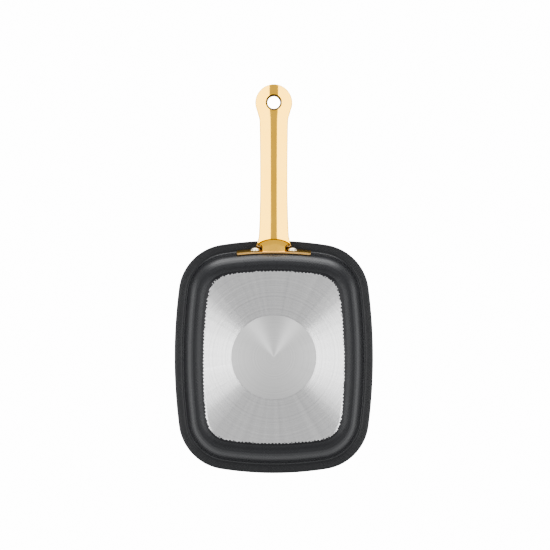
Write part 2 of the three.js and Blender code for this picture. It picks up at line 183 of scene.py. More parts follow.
# %% Section of the pressing
wall = 3.0
coat_step_width, coat_step_height = 0.8, 0.5
floor_height = coat_step_height + wall
bend_share, wall_top_share = 0.588, 0.349
bend_radius, bend_start = bend_share * base_inset, math.radians(3)
wall_top_inset, wall_top_height = wall_top_share * base_inset, 34.0
flare_radius, lip_slope = 4.5, math.radians(2)
bend_steps, straight_steps, flare_steps = 28, 4, 14
coat_edge = base_inset - coat_step_width
bend_centre = Vector(
    (coat_edge + bend_radius * math.sin(bend_start), coat_step_height + bend_radius * math.cos(bend_start))
)
to_wall_top = Vector((bend_centre.x - wall_top_inset, wall_top_height - bend_centre.y))
wall_slope = math.atan2(to_wall_top.y, to_wall_top.x) + math.asin(bend_radius / to_wall_top.length)
wall_rise = math.tan(wall_slope)
wall_foot_inset = bend_centre.x - bend_radius * math.sin(wall_slope)
wall_foot_height = bend_centre.y - bend_radius * math.cos(wall_slope)


def coated_section():
    """The sprayed outer face, from the edge of the coat to the end of the lip."""
    bend = arc(bend_centre, bend_radius, -math.pi / 2 - bend_start, -math.pi / 2 - wall_slope, bend_steps)
    top = Vector((wall_top_inset, wall_top_height))
    flare_centre = top - flare_radius * Vector((math.sin(wall_slope), math.cos(wall_slope)))
    flare = arc(flare_centre, flare_radius, math.pi / 2 - wall_slope, math.pi / 2 - lip_slope, flare_steps)
    lip_end = (wall / 2) * (1 - math.sin(lip_slope))
    lip_height = flare[-1].y + (flare[-1].x - lip_end) * math.tan(lip_slope)
    shares = spread(0, 1, straight_steps)[1:]
    straight = [bend[-1].lerp(top, share) for share in shares[:-1]]
    lip = [flare[-1].lerp(Vector((lip_end, lip_height)), share) for share in shares]
    return bend + straight + flare + lip


def into_metal(points):
    """The same line moved sideways by the sheet's thickness."""
    moved = []
    for k, point in enumerate(points):
        before = (points[max(k, 1)] - points[max(k, 1) - 1]).normalized()
        following = min(k + 1, len(points) - 1)
        after = (points[following] - points[following - 1]).normalized()
        along = (before + after).normalized()
        moved.append(point + Vector((along.y, -along.x)) * (wall / along.dot(after)))
    return moved


outer = coated_section()
inner = into_metal(outer)
print("section", len(outer), "points, lip at", round(outer[-1].y, 2), "mm")

# %% [markdown]
# The pressing
# The rings start in the pocket that holds the disc, cross the bare face, climb the outside, go round the
# rim and come down inside to the floor. Each face later finds its finish from the ring that it starts at:
# the coat starts on the bend, and the lining starts halfway round the edge of the lip.

# %% Sweep the pressing
disc_radius, disc_thickness, gap = 50.75, 1.2, 0.3
pocket_radius, pocket_depth = disc_radius + gap, disc_thickness + gap
face_border, rim_steps = 3.0, 10
face_inset = base_inset + face_border


def on_circle(radius, height):
    """Stations on a circle, each in the direction of its station on the outline."""
    flat = [Vector((p.x, p.y, 0)).normalized() * radius for p in outline(face_inset, 0)]
    return [p + Vector((0, 0, height)) for p in flat]


def rim_round(low, high):
    """The round edge of the lip, between its under and upper side."""
    middle = (low + high) / 2
    turns = spread(0, -math.pi, rim_steps)[1:-1]
    return [middle + Matrix.Rotation(t, 2) @ (low - middle) for t in turns]


bare_face = [Vector((face_inset, 0)), Vector((base_inset, 0))]
lip_edge = rim_round(outer[-1], inner[-1])
floor_edge = Vector((base_inset, floor_height))
section = [*bare_face, *outer, *lip_edge, *inner[::-1], floor_edge]
pocket = [on_circle(pocket_radius, pocket_depth), on_circle(pocket_radius, 0)]
pan = sweep("pan_pressing", pocket + [outline(p.x, p.y) for p in section])
bend_ring = len(pocket) + len(bare_face)
coat_start = bend_ring + 1
lining_start = bend_ring + len(outer) + len(lip_edge) // 2
print("coat from ring", coat_start, "and lining from ring", lining_start)


# %% Shade the pressing
def smooth(piece, degrees):
    """Shades a piece smooth, with edges sharper than the angle left crisp."""
    fresh_start()
    piece.select_set(True)
    bpy.context.view_layer.objects.active = piece
    bpy.ops.object.shade_smooth_by_angle(angle=math.radians(degrees))
    piece.select_set(False)


smooth(pan, degrees=35)
print("pressing", len(pan.data.polygons), "faces")

# %% [markdown]
# The disc in the base
# A thin steel disc is set flush into the bare face. A cylinder is enough for its shape, and a narrow bevel
# on its lower edge keeps the shading of the flat face apart from that of the side.

# %% Model the disc
disc_chamfer, seat_gap = 0.15, 0.05
disc_facets, chamfer_steps = 160, 3


def edges_at_height(piece, height):
    """Selects the edges whose two ends lie at one height, in metres."""
    bpy.ops.mesh.select_all(action="DESELECT")
    bm = bmesh.from_edit_mesh(piece.data)
    for edge in bm.edges:
        edge.select = all(abs(v.co.z - height) < 0.001 * MM for v in edge.verts)
    bm.select_flush_mode()
    bmesh.update_edit_mesh(piece.data)


fresh_start()
bpy.ops.mesh.primitive_cylinder_add(
    vertices=disc_facets,
    radius=(pocket_radius - seat_gap) * MM,
    depth=disc_thickness * MM,
    location=(0, 0, disc_thickness * MM / 2),
)
disc = bpy.context.object
disc.name = "base_disc_plate"
bpy.ops.object.transform_apply(location=True)
bpy.ops.object.mode_set(mode="EDIT")
bpy.ops.mesh.select_mode(type="EDGE")
edges_at_height(disc, 0)
bpy.ops.mesh.bevel(offset=disc_chamfer * MM, segments=chamfer_steps, affect="EDGES")
bpy.ops.mesh.select_mode(type="VERT")
bpy.ops.object.mode_set(mode="OBJECT")
smooth(disc, degrees=30)
print("disc", len(disc.data.polygons), "faces")

# %% [markdown]
# The end wall
# The bracket and the rivets sit on the outer face of the end wall, which bows in plan and leans out a
# little. A point on that face and its normal place everything there.

# %% Points on the end wall
end_wall_lean = end_stretch / wall_rise
end_wall_thickness = wall * end_stretch * math.cos(math.atan(end_wall_lean)) / math.sin(wall_slope)


def end_wall_point(x, height):
    """The point of the outer face beside the middle by x and at a height, in millimetres."""
    sag = end_bow - math.sqrt(end_bow**2 - x**2)
    inset = wall_foot_inset - (height - wall_foot_height) / wall_rise
    return Vector((x, sag - half_length(inset), height))


def end_wall_normal(x):
    """The direction out of the wall, which turns with the bow."""
    turn = math.asin(x / end_bow)
    return Vector((math.sin(turn), -math.cos(turn), -end_wall_lean)).normalized()


def off_end_wall(x, height, distance):
    """A point that stands off the wall by a distance."""
    return end_wall_point(x, height) + end_wall_normal(x) * distance


print("end wall", round(end_wall_thickness, 2), "mm thick")

# %% [markdown]
# The handle's spine
# The handle leaves the pan at a slant and levels out towards its tip. Its spine is a curve whose slope goes
# evenly from one end to the other. Reaches are counted from the pan's rim, and the mouth of the handle
# starts as close to the wall as the flange and the rivets leave room for.

# %% Spine of the handle
flange_foot_drop, flange_head_drop, root_lift = 2.0, 1.6, 2.8
flange_foot, flange_head = wall_foot_height - flange_foot_drop, wall_top_height - flange_head_drop
flange_height = flange_head - flange_foot
flange_middle = (flange_foot + flange_head) / 2
flange_foot_thickness, flange_head_thickness = 2.4, 3.4
flange_thickness = (flange_foot_thickness + flange_head_thickness) / 2
root_height = flange_middle + root_lift
root_slope, tip_slope = math.tan(math.radians(17)), math.tan(math.radians(2))
tip_reach, tip_radius = 167.0, 45.2 / 2
handle_reach = tip_reach + tip_radius
rivet_head_height, mouth_room = 3.7, 0.5
wall_reach = -end_wall_point(0, flange_middle).y - rim_length / 2
rivet_top_reach = wall_reach + 2 * gap + flange_thickness + rivet_head_height
flange_top_reach = wall_reach + end_wall_lean * flange_height / 2 + gap + flange_head_thickness
hood_reach = max(rivet_top_reach, flange_top_reach) + mouth_room


def spine_slope(reach):
    """Rise of the spine for each millimetre of reach."""
    return root_slope + (tip_slope - root_slope) * reach / handle_reach


def off_spine(reach, x, height):
    """A point beside the spine, height square to it, in millimetres."""
    rise = reach * (root_slope + spine_slope(reach)) / 2
    up = Vector((0, spine_slope(reach), 1)).normalized()
    return Vector((x, -rim_length / 2 - reach, root_height + rise)) + up * height


print("handle", round(handle_reach - hood_reach, 1), "mm long")

# %% [markdown]
# The handle's plan
# In plan the handle is a bar that flares at the pan, is slimmest at its waist and swells into a round tip. A
# smooth curve through a few widths gives the bar, and an arc gives the tip.

# %% Plan of the handle
mouth_width, rim_line_width = 42.6, 38.6
root_reach, root_width = 12.0, 35.6
waist_reach, waist_width = 62.0, 33.2
throat_reach, throat_width = tip_reach - 29.0, 34.4
swell_reach, swell_width = tip_reach - 16.0, 37.6
tip_blend = math.radians(105)
span_steps, tip_steps = 24, 60


def smooth_curve(points, steps):
    """A curve through all the points, with steps in each span."""
    made = []
    for k in range(len(points) - 1):
        before, start = points[max(k - 1, 0)], points[k]
        end, after = points[k + 1], points[min(k + 2, len(points) - 1)]
        leave, arrive = (end - before) / 2, (after - start) / 2
        for step in range(steps):
            t = step / steps
            cubic = (start - end) * 2 + leave + arrive
            square = (end - start) * 3 - leave * 2 - arrive
            made.append(cubic * t**3 + square * t**2 + leave * t + start)
    return made + [points[-1]]


tip_arc = arc(Vector((tip_reach, 0)), tip_radius, tip_blend, 0, tip_steps)
widths = [
    Vector((hood_reach, mouth_width / 2)),
    Vector((0, rim_line_width / 2)),
    Vector((root_reach, root_width / 2)),
    Vector((waist_reach, waist_width / 2)),
    Vector((throat_reach, throat_width / 2)),
    Vector((swell_reach, swell_width / 2)),
    tip_arc[0],
]
handle_plan = smooth_curve(widths, span_steps) + tip_arc[1:]


def half_width(reach):
    """Half of the handle's width at a reach from the rim."""
    if reach >= tip_reach:
        return math.sqrt(max(tip_radius**2 - (reach - tip_reach) ** 2, 0))
    k = min(max(bisect_right([p.x for p in handle_plan], reach), 1), len(handle_plan) - 1)
    start, end = handle_plan[k - 1], handle_plan[k]
    return start.lerp(end, (reach - start.x) / (end.x - start.x)).y


print("handle's waist", round(2 * half_width(waist_reach), 1), "mm wide")

# %% [markdown]
# The two shells of the handle
# Two pressed shells meet at a seam all round. Each is a shallow crown with a rounded edge. The crown is a
# part of a circle whose slope at the edge is the same all along, so it grows with the width, and a
# mirror-bright underside then shows one straight dark stripe down its middle. Half a shell is drawn on a
# grid, with rows packed round the hanging hole, then mirrored and given the thickness of its sheet. The
# outside, the inside and the cut edge of the sheet look different, so a shell has a slot for each of them
# before the Solidify modifier builds its walls.

# %% Crown of a shell
handle_edge, handle_sheet = 0.8, 1.5
hanging_hole, eyelet_wall = 15.4, 1.7
eyelet_radius = hanging_hole / 2 + eyelet_wall
# A shell lies on one side of the seam. It has one depth along the bar and another at the tip.
under = {"side": -1, "depth": 6.8, "tip_depth": 9.0, "edge_slope": math.radians(21)}
over = {"side": 1, "depth": 5.5, "tip_depth": 3.5, "edge_slope": math.radians(10)}


def ease(share):
    """A share, kept between nought and one, that starts and ends softly."""
    share = min(max(share, 0), 1)
    return share**2 * (3 - 2 * share)


def crown(shell, x, reach, inset=0.0, width=None, drop=0.0):
    """How far the outer face of a shell, or a face inset from it, stands off the seam."""
    share = ease((reach - throat_reach) / (tip_reach - throat_reach))
    depth = shell["depth"] + (shell["tip_depth"] - shell["depth"]) * share
    past_tip = max(reach - tip_reach, 0)
    if width is None:
        width = (tip_radius if past_tip else half_width(reach)) - inset
    from_edge = width - math.hypot(x, past_tip)
    near_edge = 1 - min(max(from_edge / handle_edge, 0), 1)
    radius = (width + inset) / math.sin(shell["edge_slope"]) - inset
    fall = radius - math.sqrt(max(radius**2 - x**2, 0))
    return (depth - inset + drop - fall) * math.sqrt(1 - near_edge**2)


waist_depth = crown(under, 0, waist_reach) + crown(over, 0, waist_reach)
print("handle's waist", round(waist_depth, 1), "mm thick")

# %% Model the shells
mouth_arch, arch_fade = 6.9, 30.0
columns, bar_rows, hole_rows, tip_rows = 32, 80, 28, 20
# The two halves join where they meet within one distance, and a row that shrinks to a point within another.
half_seam, closed_row = 0.01 * MM, 0.002 * MM
outside, inside, cut_edge = range(3)


def shell_rows():
    """Reaches of the grid's rows, with their half opening for the hanging hole."""
    hole = eyelet_radius + gap
    bar = [(reach, 0) for reach in spread(hood_reach, tip_reach - hole, bar_rows)[:-1]]
    turns = spread(0, math.pi, hole_rows)
    ring = [(tip_reach - hole * math.cos(t), hole * math.sin(t)) for t in turns]
    ends = spread(math.asin(hole / tip_radius), math.pi / 2, tip_rows)[1:]
    return bar + ring + [(tip_reach + tip_radius * math.sin(t), 0) for t in ends]


def model_shell(name, shell, arch):
    """A shell whose mouth is drawn back in an arch between its side walls."""
    rows = shell_rows()
    arch_width = half_width(hood_reach) - handle_edge / 2
    fresh_start()
    bpy.ops.mesh.primitive_grid_add(x_subdivisions=columns, y_subdivisions=len(rows) - 1, size=2)
    piece = bpy.context.object
    piece.name = name
    for vertex in piece.data.vertices:
        row = round((vertex.co.y + 1) / 2 * (len(rows) - 1))
        across = math.sin(math.pi / 2 * (vertex.co.x + 1) / 2)
        reach, opening = rows[row]
        fade = max(1 - (reach - hood_reach) / arch_fade, 0) ** 2
        bow = math.sqrt(max(1 - (half_width(reach) * across / arch_width) ** 2, 0))
        reach = reach + arch * bow * fade
        x = opening + (half_width(reach) - opening) * across
        height = max(crown(shell, x, reach), gap / 2) * shell["side"]
        vertex.co = off_spine(reach, x, height) * MM
    mirror = piece.modifiers.new("other half", "MIRROR")
    mirror.merge_threshold = half_seam
    bpy.ops.object.modifier_apply(modifier=mirror.name)
    bpy.ops.object.mode_set(mode="EDIT")
    bpy.ops.mesh.select_all(action="SELECT")
    bpy.ops.mesh.remove_doubles(threshold=closed_row)
    bpy.ops.mesh.normals_make_consistent(inside=False)
    bpy.ops.object.mode_set(mode="OBJECT")
    facing = sum(face.normal.z * face.area for face in piece.data.polygons)
    if facing * shell["side"] < 0:
        piece.data.flip_normals()
    for _ in (outside, inside, cut_edge):
        piece.data.materials.append(None)
    sheet = piece.modifiers.new("sheet", "SOLIDIFY")
    sheet.thickness = handle_sheet * MM
    sheet.offset = -1
    sheet.material_offset = inside
    sheet.material_offset_rim = cut_edge
    bpy.ops.object.modifier_apply(modifier=sheet.name)
    smooth(piece, degrees=40)
    print(name, len(piece.data.polygons), "faces")
    return piece


under_shell = model_shell("handle_under_shell", under, mouth_arch)
over_shell = model_shell("handle_over_shell", over, 0)

# %% [markdown]
# The eyelet of the hanging hole
# A short tube lines the hole and closes the shells round it. Its two lips are rolled over, so the hole
# shows a thin dark ring. The rings of the sweep run round the hole, and each lip follows the crown of the
# shell it sits in.

# %% Model the eyelet
lip_depth = 2.6
hole_stations, lip_steps = 72, 6


def eyelet_ring(shell, radius, drop):
    """A ring round the hole, a drop below the outer face of a shell."""
    made = []
    for turn in spread(0, 2 * math.pi, hole_stations)[:-1]:
        x, along = math.cos(turn), math.sin(turn)
        face = crown(shell, eyelet_radius * x, tip_reach + eyelet_radius * along)
        made.append(off_spine(tip_reach + radius * along, radius * x, shell["side"] * (face - drop)))
    return made


def forget_rings(piece):
    """Removes the numbers of rings and stations from a swept piece that needs them no more."""
    for helper in ("ring", "station"):
        if helper in piece.data.attributes:
            piece.data.attributes.remove(piece.data.attributes[helper])


def rolled_lip(turn):
    """Radius of a rolled lip and its drop below the shell's face, at a turn from the outer edge inwards."""
    return hanging_hole / 2 + eyelet_wall * (1 - math.sin(turn)), lip_depth * (1 - math.cos(turn))


lip = [rolled_lip(turn) for turn in spread(0, math.pi / 2, lip_steps)]
eyelet_rings = [eyelet_ring(under, radius, drop) for radius, drop in lip]
eyelet_rings += [eyelet_ring(over, radius, drop) for radius, drop in lip[::-1]]
eyelet_rings.append(eyelet_rings[0])
eyelet = sweep("hanging_hole_eyelet", eyelet_rings, closed=True)
forget_rings(eyelet)
smooth(eyelet, degrees=50)

# %% [markdown]
# The flange of the bracket
# The bracket is one casting: a curved flange that lies against the end wall, and a neck that runs into the
# handle. The flange is a sweep from side to side along the wall. It is thicker at its head than at its
# foot, and its slices shrink at both ends to round the corners.

# %% Sweep the flange
flange_width, flange_corner, flange_round, edge_round = 89.0, 2.0, 0.25, 0.245
flange_steps, edge_steps = 60, 4


def flange_face(height):
    """Distance of the flange's outer face from the wall."""
    share = (height - flange_foot) / flange_height
    return gap + flange_foot_thickness + (flange_head_thickness - flange_foot_thickness) * share


def flange_slice(x):
    """A slice of the flange, square to the wall, with rounded corners."""
    past = max(abs(x) - (flange_width / 2 - flange_corner), 0)
    half = flange_height / 2 - flange_corner + math.sqrt(max(flange_corner**2 - past**2, 0))
    end = max(abs(x) - (flange_width / 2 - flange_round), 0)
    thin = flange_round - math.sqrt(max(flange_round**2 - end**2, 0))
    low, high = flange_middle - half, flange_middle + half
    corners = (
        (0, high - edge_round, flange_face(high) - thin - edge_round),
        (1, low + edge_round, flange_face(low) - thin - edge_round),
        (2, low + edge_round, gap + thin + edge_round),
        (3, high - edge_round, gap + thin + edge_round),
    )
    made = []
    for quarter, height, distance in corners:
        for step in range(edge_steps + 1):
            turn = math.pi / 2 * (quarter + step / edge_steps)
            up, out = edge_round * math.cos(turn), edge_round * math.sin(turn)
            made.append(off_end_wall(x, height + up, distance + out))
    return made


flange_turns = spread(-math.pi / 2, math.pi / 2, flange_steps)
flange_slices = [flange_slice(flange_width / 2 * math.sin(t)) for t in flange_turns]
bracket = sweep("handle_bracket_casting", flange_slices)

# %% [markdown]
# The neck of the bracket
# The neck is a sweep along the spine. Inside the handle it fills the shells, and towards the flange it
# narrows and its underside drops. It is drawn on into the flange, so that a union of the two leaves no gap.

# %% Sweep the neck
neck_side_room, neck_room = 0.85, 0.5
neck_width = waist_width - 2 * (handle_sheet + neck_side_room)
neck_start, neck_flare_reach, neck_end = flange_top_reach + 1.0, hood_reach + 1.8, 24.0
neck_drop = math.tan(math.radians(9))
neck_stations, neck_steps = 64, 30


def neck_slice(reach):
    """A slice of the neck, square to the spine."""
    inset = handle_sheet + neck_room
    share = ease((reach - hood_reach) / (neck_flare_reach - hood_reach))
    filled = half_width(max(reach, hood_reach)) - inset
    width = neck_width / 2 + (filled - neck_width / 2) * share
    drop = neck_drop * max(neck_flare_reach - reach, 0)
    made = []
    for k in range(neck_stations):
        turn = 2 * math.pi * (k + 0.5) / neck_stations
        x = width * math.cos(turn)
        if turn > math.pi:
            height = -crown(under, x, reach, inset, width, drop)
        else:
            height = crown(over, x, reach, inset, width)
        made.append(off_spine(reach, x, height))
    return made


def drawn_into_flange(first, second):
    """The neck's first slice, drawn on in a straight line to the middle of the flange."""
    made = []
    for near, far in zip(first, second):
        within = off_end_wall(near.x, near.z, gap + flange_thickness / 2)
        made.append(near + (near - far) * ((within.y - near.y) / (near.y - far.y)))
    return made


neck_rings = [neck_slice(reach) for reach in spread(neck_start, neck_end, neck_steps)]
neck = sweep("neck", [drawn_into_flange(*neck_rings[:2]), *neck_rings])

# %% Join the neck to the flange
fresh_start()
bpy.context.view_layer.objects.active = bracket
union = bracket.modifiers.new("one casting", "BOOLEAN")
union.operation = "UNION"
union.object = neck
bpy.ops.object.modifier_apply(modifier=union.name)
bpy.data.objects.remove(neck)
forget_rings(bracket)
smooth(bracket, degrees=40)
print("bracket", len(bracket.data.polygons), "faces")

# %% [markdown]
# The rivets
# Each rivet has a low dome outside, a shank through the flange and the wall, and a flatter dome inside the
# pan. Its profile runs from the top of the outer dome to the inner one, and a ring round the rivet's own
# axis at each point of it makes a sweep. The left rivet is copied, and the copy is mirrored to the right,
# which turns it inside out, so its normals are worked out again.

# %% Model the left rivet
rivet_head, rivet_shank, rivet_inner_height = 12.6 / 2, 6.0 / 2, 1.8
rivet_side_room = 1.45
rivet_spacing = neck_width + 2 * rivet_head + 2 * rivet_side_room
dome_steps, rivet_stations = 10, 48
rivet_foot = end_wall_point(-rivet_spacing / 2, flange_middle)
rivet_axis = end_wall_normal(-rivet_spacing / 2)
rivet_across = rivet_axis.cross(Vector((0, 0, 1))).normalized()
rivet_upward = rivet_across.cross(rivet_axis)


def rivet_profile():
    """Radius and distance from the wall, from the top of the outer dome to the inner one."""
    seat, inner_seat = flange_thickness + 2 * gap, -(end_wall_thickness + gap)
    turns = spread(0, math.pi / 2, dome_steps)
    dome = [(rivet_head * math.sin(t), seat + rivet_head_height * math.cos(t)) for t in turns[1:]]
    shank = [(rivet_shank, seat), (rivet_shank, inner_seat)]
    inner_dome = [(rivet_head * math.cos(t), rivet_inner_height * math.sin(t)) for t in turns[:-1]]
    return dome + shank + [(radius, inner_seat - rise) for radius, rise in inner_dome]


def rivet_ring(radius, distance):
    """A ring round the rivet's axis, at a distance from the wall."""
    middle = rivet_foot + rivet_axis * distance
    turns = spread(0, 2 * math.pi, rivet_stations)[:-1]
    return [middle + (rivet_across * math.cos(t) + rivet_upward * math.sin(t)) * radius for t in turns]


rivet_left = sweep("rivet_left_bright", [rivet_ring(*point) for point in rivet_profile()])
forget_rings(rivet_left)
smooth(rivet_left, degrees=50)

# %% Copy it to the right
fresh_start()
rivet_left.select_set(True)
bpy.context.view_layer.objects.active = rivet_left
bpy.ops.object.duplicate(linked=False)
rivet_right = bpy.context.object
rivet_right.name = "rivet_right_bright"
bpy.ops.object.mode_set(mode="EDIT")
bpy.ops.mesh.select_all(action="SELECT")
bpy.ops.transform.resize(value=(-1, 1, 1), center_override=(0, 0, 0))
bpy.ops.mesh.normals_make_consistent(inside=False)
bpy.ops.object.mode_set(mode="OBJECT")
rivets = [rivet_left, rivet_right]
print("rivets", round(rivet_spacing, 1), "mm apart")

# %% [markdown]
# Finishes
# Each finish is a small network of nodes round one Principled shader. Colours are written as they look on a
# screen and turned to linear light once. Patterns are measured in millimetres, and object coordinates are
# metres here, so a pattern's scale is a thousand divided by its size.

# %% Add nodes
def linear(code):
    """A screen colour such as #c0a060 as linear red, green, blue and alpha."""
    parts = [int(code[k : k + 2], 16) / 255 for k in (1, 3, 5)]
    return tuple(c / 12.92 if c <= 0.04045 else ((c + 0.055) / 1.055) ** 2.4 for c in parts) + (1.0,)


def connect(tree, node, inputs):
    """Fills the inputs of a node, or links those whose value is the output of another node."""
    for socket, value in inputs.items():
        if isinstance(value, bpy.types.NodeSocket):
            tree.links.new(value, node.inputs[socket])
        else:
            node.inputs[socket].default_value = value


def add(tree, kind, inputs=None, **settings):
    """Adds a node, sets its properties and connects its inputs."""
    made = tree.nodes.new(kind)
    for name, value in settings.items():
        setattr(made, name, value)
    connect(tree, made, inputs or {})
    return made


def new_finish(name):
    """A material with a Principled shader: the material, its node tree and the shader."""
    material = bpy.data.materials.new(name)
    material.use_nodes = True
    tree = material.node_tree
    return material, tree, tree.nodes["Principled BSDF"]


def per_mm(size):
    """Texture scale for a pattern of a size in millimetres."""
    return 1 / (size * MM)


print("a middle grey on the screen is", round(linear("#808080")[0], 3), "in linear light")

# %% [markdown]
# The sprayed coat
# The sheet is rolled with a fine lattice of dots before it is pressed, and a dark non-stick paint is
# sprayed on it and baked. The eye sees a dark, half-gloss skin whose soft shine is broken up by the dots
# under it. A Voronoi texture with little randomness gives such a lattice, and its distance serves for both
# the tone and the bump. The lining inside the pan is smoother and darker.

# %% Sprayed coat
# Such dots are about a millimetre apart. They are drawn coarser, at a pitch that still shows in the picture.
dot_pitch, dot_unevenness, dot_strength = 2.4, 0.2, 0.5
cloud_size, gloss_drift = 14.0, 0.04


def dots(tree, place, pitch):
    """Distance from the dots of a slightly uneven lattice that is turned by an eighth."""
    turned = add(tree, "ShaderNodeMapping", {"Vector": place, "Rotation": (0.0, 0.0, math.pi / 4)})
    inputs = {"Vector": turned.outputs["Vector"], "Scale": per_mm(pitch), "Randomness": dot_unevenness}
    return add(tree, "ShaderNodeTexVoronoi", inputs).outputs["Distance"]


def sprayed_coat(name, colour, pale, roughness, depth):
    """Sprayed paint, pale on top of the dots, with the depth of the dots in millimetres."""
    material, tree, shader = new_finish(name)
    place = add(tree, "ShaderNodeTexCoord").outputs["Object"]
    peel = dots(tree, place, dot_pitch)
    cloud = add(tree, "ShaderNodeTexNoise", {"Vector": place, "Scale": per_mm(cloud_size), "Detail": 3.0})
    tones = {"Factor": peel, "A": linear(pale), "B": linear(colour)}
    blend = add(tree, "ShaderNodeMix", tones, data_type="RGBA")
    drift = {"To Min": roughness - gloss_drift, "To Max": roughness + gloss_drift}
    shine = add(tree, "ShaderNodeMapRange", {"Value": cloud.outputs["Fac"], **drift})
    bump = add(tree, "ShaderNodeBump", {"Height": peel, "Strength": dot_strength, "Distance": depth * MM})
    look = {
        "Base Color": blend.outputs["Result"],
        "Roughness": shine.outputs["Result"],
        "Normal": bump.outputs["Normal"],
    }
    connect(tree, shader, look)
    return material


coat = sprayed_coat("sprayed_nonstick_coat", "#29292c", "#434446", 0.28, 0.26)
lining = sprayed_coat("nonstick_lining", "#131314", "#1f2021", 0.34, 0.08)
print("coats", coat.name, "and", lining.name)

# %% [markdown]
# The edge of the bare face
# The facing cut ends where the bottom of the pan curves away from the tool, in a line of its own: bowed
# sides and ends with rounded corners, a little narrower towards the handle. Two circles give the depth
# inside a side and inside an end, and a smooth minimum of the two rounds the corner. All four corners fold
# into one by the absolute value.

# %% Edge of the facing cut
bare_width, bare_length, bare_corner = 169.2, 207.0, 35.0
bare_taper = 0.17


def inside_bare_edge(tree, place):
    """Depth inside the line where the facing cut ends, in metres."""
    parts = add(tree, "ShaderNodeSeparateXYZ", {"Vector": place})
    narrowing = {0: parts.outputs["Y"], 1: -bare_taper, 2: 1.0}
    taper = add(tree, "ShaderNodeMath", narrowing, operation="MULTIPLY_ADD")
    widening = {0: parts.outputs["X"], 1: taper.outputs["Value"]}
    across = add(tree, "ShaderNodeMath", widening, operation="MULTIPLY")
    flat = add(tree, "ShaderNodeCombineXYZ", {"X": across.outputs["Value"], "Y": parts.outputs["Y"]})
    quarter = add(tree, "ShaderNodeVectorMath", {0: flat.outputs["Vector"]}, operation="ABSOLUTE")
    depths = []
    for bow, x, y in ((side_bow, bare_width / 2 - side_bow, 0), (end_bow, 0, bare_length / 2 - end_bow)):
        ends = {0: quarter.outputs["Vector"], 1: (x * MM, y * MM, 0.0)}
        reach = add(tree, "ShaderNodeVectorMath", ends, operation="DISTANCE")
        depth = add(tree, "ShaderNodeMath", {0: bow * MM, 1: reach.outputs["Value"]}, operation="SUBTRACT")
        depths.append(depth.outputs["Value"])
    meeting = {0: depths[0], 1: depths[1], 2: bare_corner * MM}
    return add(tree, "ShaderNodeMath", meeting, operation="SMOOTH_MIN").outputs["Value"]


print("bare face", bare_width, "by", bare_length, "mm")

# %% [markdown]
# The faced aluminium
# The underside is faced on a lathe, which leaves bare metal with fine circular grooves. Grooves scatter
# light across themselves, so a lamp on the left lights the left and right of the face, and the rest stays
# darker. The shader's anisotropy does this when its tangent points away from the centre. Along the edge of
# the cut the tool takes the paint off between some of the rolled dots and not others, which leaves a row of
# small teeth.

# %% Faced aluminium
# Such grooves are a few tenths of a millimetre apart, and the teeth follow dots of about a millimetre. Both
# are too fine for the picture and are drawn coarser.
groove_size, groove_detail, groove_strength, groove_depth = 2.2, 4.0, 0.15, 0.03
streaks, streak_detail = 14.0, 3.0
tooth_pitch = 3.0
ragged_depth, mean_distance, soft_edge = 3.8 * MM, 0.42, 0.1 * MM
bare_start = ragged_depth * mean_distance


def polar(tree, place):
    """Radius in metres and the direction away from the centre."""
    parts = add(tree, "ShaderNodeSeparateXYZ", {"Vector": place})
    flat = add(tree, "ShaderNodeCombineXYZ", {"X": parts.outputs["X"], "Y": parts.outputs["Y"]})
    radius = add(tree, "ShaderNodeVectorMath", {0: flat.outputs["Vector"]}, operation="LENGTH")
    away = add(tree, "ShaderNodeVectorMath", {0: flat.outputs["Vector"]}, operation="NORMALIZE")
    return radius.outputs["Value"], away.outputs["Vector"]


faced, tree, shader = new_finish("faced_aluminium")
place = add(tree, "ShaderNodeTexCoord").outputs["Object"]
radius, away = polar(tree, place)
rings = {"W": radius, "Scale": per_mm(groove_size), "Detail": groove_detail}
groove = add(tree, "ShaderNodeTexNoise", rings, noise_dimensions="1D")
streak = add(tree, "ShaderNodeTexNoise", {"Vector": away, "Scale": streaks, "Detail": streak_detail})
both = add(tree, "ShaderNodeMath", {0: groove.outputs["Fac"], 1: streak.outputs["Fac"]}, operation="ADD")
worn = add(tree, "ShaderNodeMath", {0: both.outputs["Value"], 1: 0.5}, operation="MULTIPLY")
metal = {"Factor": worn.outputs["Value"], "A": linear("#b6b6b7"), "B": linear("#e4e4e4")}
tone = add(tree, "ShaderNodeMix", metal, data_type="RGBA")
teeth = {0: dots(tree, place, tooth_pitch), 1: ragged_depth, 2: inside_bare_edge(tree, place)}
wobble = add(tree, "ShaderNodeMath", teeth, operation="MULTIPLY_ADD")
edge = {"From Min": bare_start - soft_edge, "From Max": bare_start + soft_edge}
bare = add(tree, "ShaderNodeMapRange", {"Value": wobble.outputs["Value"], **edge})
painted = {"Factor": bare.outputs["Result"], "A": linear("#2f2f32"), "B": tone.outputs["Result"]}
colour = add(tree, "ShaderNodeMix", painted, data_type="RGBA")
shine = add(tree, "ShaderNodeMapRange", {"Value": streak.outputs["Fac"], "To Min": 0.24, "To Max": 0.28})
relief = {"Height": groove.outputs["Fac"], "Strength": groove_strength, "Distance": groove_depth * MM}
bump = add(tree, "ShaderNodeBump", relief)
look = {
    "Base Color": colour.outputs["Result"],
    "Metallic": bare.outputs["Result"],
    "Roughness": shine.outputs["Result"],
    "Normal": bump.outputs["Normal"],
    "Tangent": away,
    "Anisotropic": 0.98,
}
connect(tree, shader, look)


# %% Dress the pressing
def dress_strips(piece, materials, strip_starts):
    """Gives a swept piece its finishes: each one after the first begins at a strip between two rings."""
    for material in materials:
        piece.data.materials.append(material)
    ring_of = [entry.value for entry in piece.data.attributes["ring"].data]
    for face in piece.data.polygons:
        strip = min(ring_of[v] for v in face.vertices)
        face.material_index = sum(strip >= start for start in strip_starts)
    forget_rings(piece)


